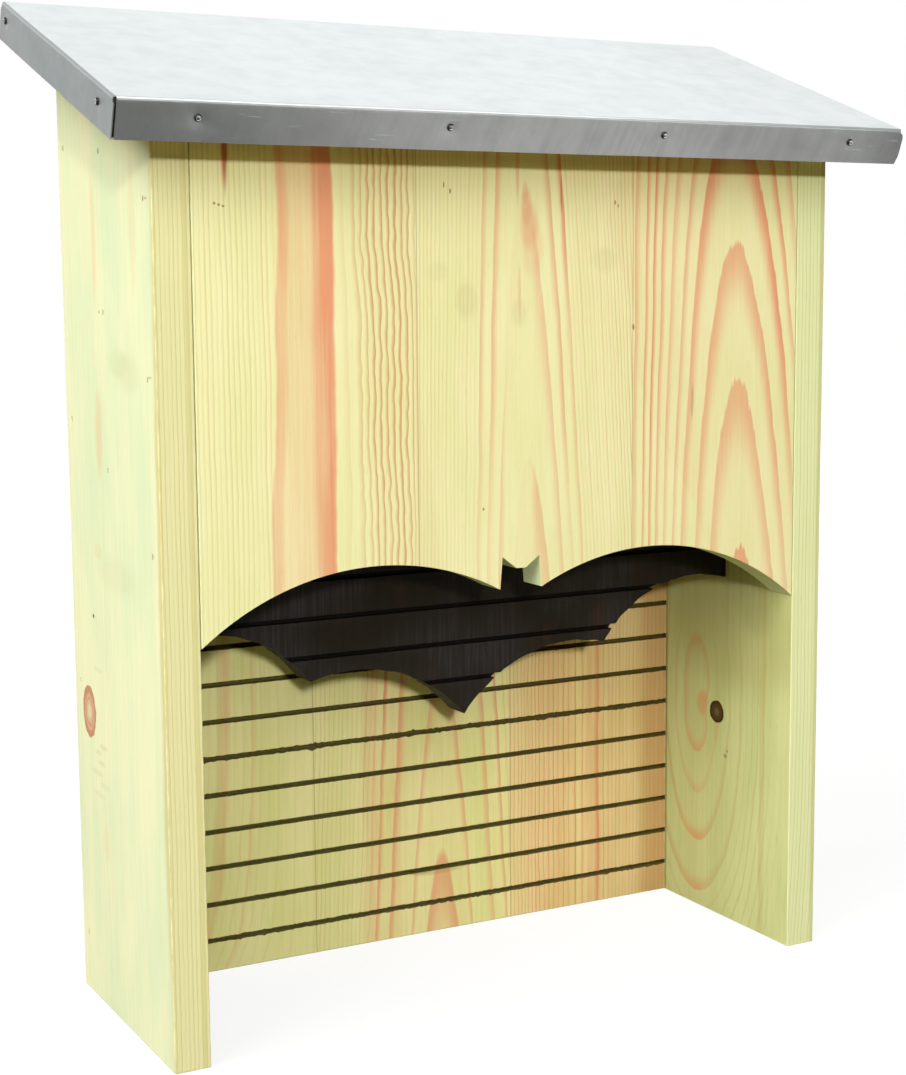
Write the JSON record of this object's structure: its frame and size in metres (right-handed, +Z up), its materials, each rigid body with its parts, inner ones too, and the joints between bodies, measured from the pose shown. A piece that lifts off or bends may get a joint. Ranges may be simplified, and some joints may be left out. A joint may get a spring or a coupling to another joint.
{
  "type": "bat box",
  "caption": "Open-bottomed wooden bat box: sloping sheet-capped roof, kerfed back panel, kerfed dark partition, front panel and partition sawn to a bat outline.",
  "frame": {"origin": "on the floor under the middle of the outer size, roof and nail heads included", "axes": "+X to the viewer's right when facing the front panel, +Y from the front panel to the back panel, +Z up"},
  "size_m": [0.4316, 0.1749, 0.507],
  "materials": {
    "side_pine": "planed pressure-treated pine, very pale yellow-green, matt",
    "front_pine": "planed pressure-treated pine with salmon late wood, matt",
    "back_pine": "planed pressure-treated pine with sawn kerfs, matt",
    "stained_pine": "dark brown stain, faint grain, slight sheen",
    "galvanised_sheet": "thin galvanised sheet, pale grey, faintly mottled and scuffed",
    "bright_steel": "domed and flat nail heads, bright zinc",
    "brad_steel": "small sunk brad heads, dull"
  },
  "bodies": {
    "root": {"left_side": "side_pine", "right_side": "side_pine", "front_panel": "front_pine", "bat_partition": "stained_pine", "back_panel": "back_pine", "roof_board": "front_pine", "roof_cap": "galvanised_sheet", "cap_nail_front_1": "bright_steel", "cap_nail_front_2": "bright_steel", "cap_nail_front_3": "bright_steel", "cap_nail_front_4": "bright_steel", "cap_nail_back_1": "bright_steel", "cap_nail_back_2": "bright_steel", "cap_nail_back_3": "bright_steel", "cap_nail_back_4": "bright_steel", "cap_nail_left_1": "bright_steel", "cap_nail_left_2": "bright_steel", "cap_nail_right_1": "bright_steel", "cap_nail_right_2": "bright_steel", "roof_nail_left_1": "bright_steel", "roof_nail_left_2": "bright_steel", "roof_nail_right_1": "bright_steel", "roof_nail_right_2": "bright_steel", "front_brad_left_1": "brad_steel", "front_brad_left_2": "brad_steel", "front_brad_left_3": "brad_steel", "front_brad_right_1": "brad_steel", "front_brad_right_2": "brad_steel", "front_brad_right_3": "brad_steel", "partition_brad_left_1": "brad_steel", "partition_brad_left_2": "brad_steel", "partition_brad_left_3": "brad_steel", "partition_brad_right_1": "brad_steel", "partition_brad_right_2": "brad_steel", "partition_brad_right_3": "brad_steel", "back_brad_left_1": "brad_steel", "back_brad_left_2": "brad_steel", "back_brad_left_3": "brad_steel", "back_brad_left_4": "brad_steel", "back_brad_right_1": "brad_steel", "back_brad_right_2": "brad_steel", "back_brad_right_3": "brad_steel", "back_brad_right_4": "brad_steel"}
  },
  "joints": []
}
